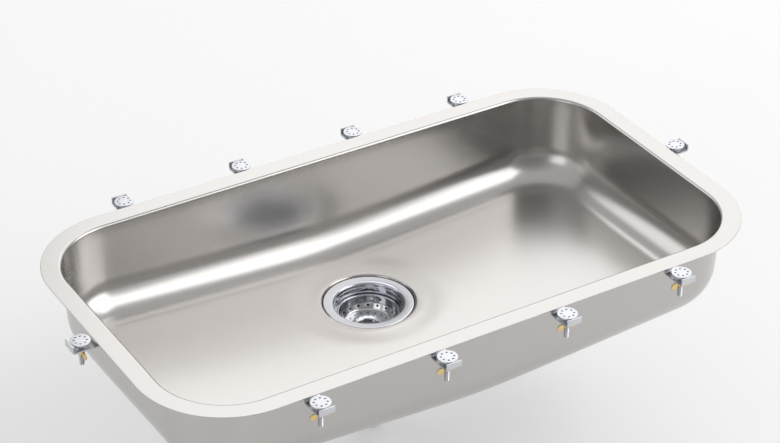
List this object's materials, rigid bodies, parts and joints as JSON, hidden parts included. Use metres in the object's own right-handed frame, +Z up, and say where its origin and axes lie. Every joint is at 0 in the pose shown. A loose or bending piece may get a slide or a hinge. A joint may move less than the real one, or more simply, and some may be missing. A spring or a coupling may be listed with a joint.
{
  "type": "undermount kitchen sink",
  "caption": "Undermount kitchen sink: shallow drawn steel bowl with a flat flange and a floor falling to a rear drain, lift-out basket strainer, tailpiece and hold-up clips.",
  "frame": {"origin": "centre of the bowl's opening, in the plane of the flange's top face, which is the underside of the worktop", "axes": "+X along the sink to the right, +Y to the back where the drain stands, +Z up"},
  "size_m": [0.8632, 0.5072, 0.3175],
  "materials": {
    "drawn_steel": "satin",
    "pad_rubber": "matte",
    "bedding": "matte",
    "bright_chrome": "polished",
    "black_rubber": "matte",
    "fibre": "matte",
    "zinc": "cast",
    "white_plastic": "matte",
    "tube_chrome": "polished",
    "fitting_steel": "zinc plated",
    "brass": "bright",
    "basket_steel": "bright"
  },
  "bodies": {
    "sink": {"bowl": "drawn_steel", "sound_pad_left": "pad_rubber", "sound_pad_right": "pad_rubber", "bedding_ring": "bedding", "strainer_body": "bright_chrome", "rubber_gasket": "black_rubber", "fibre_washer": "fibre", "lock_nut": "zinc", "tailpiece_seal": "white_plastic", "tailpiece": "tube_chrome", "coupling_nut": "zinc", "clip_studs": "fitting_steel", "clips": "fitting_steel", "clip_washers": "fitting_steel", "wing_nuts": "brass"},
    "basket": {"basket": "basket_steel", "basket_hub": "basket_steel", "grip_ring": "black_rubber"},
    "stopper": {"knob": "basket_steel", "stem": "basket_steel", "stopper_washer": "basket_steel", "stopper": "black_rubber", "stopper_nut": "basket_steel"}
  },
  "joints": [
    {"name": "basket_lift", "type": "slide", "parent": "sink", "child": "basket", "axis": [0, 0, 1], "range_m": [0, 0.22]},
    {"name": "stopper_lift", "type": "slide", "parent": "basket", "child": "stopper", "axis": [0, 0, 1], "range_m": [0, 0.008]}
  ]
}
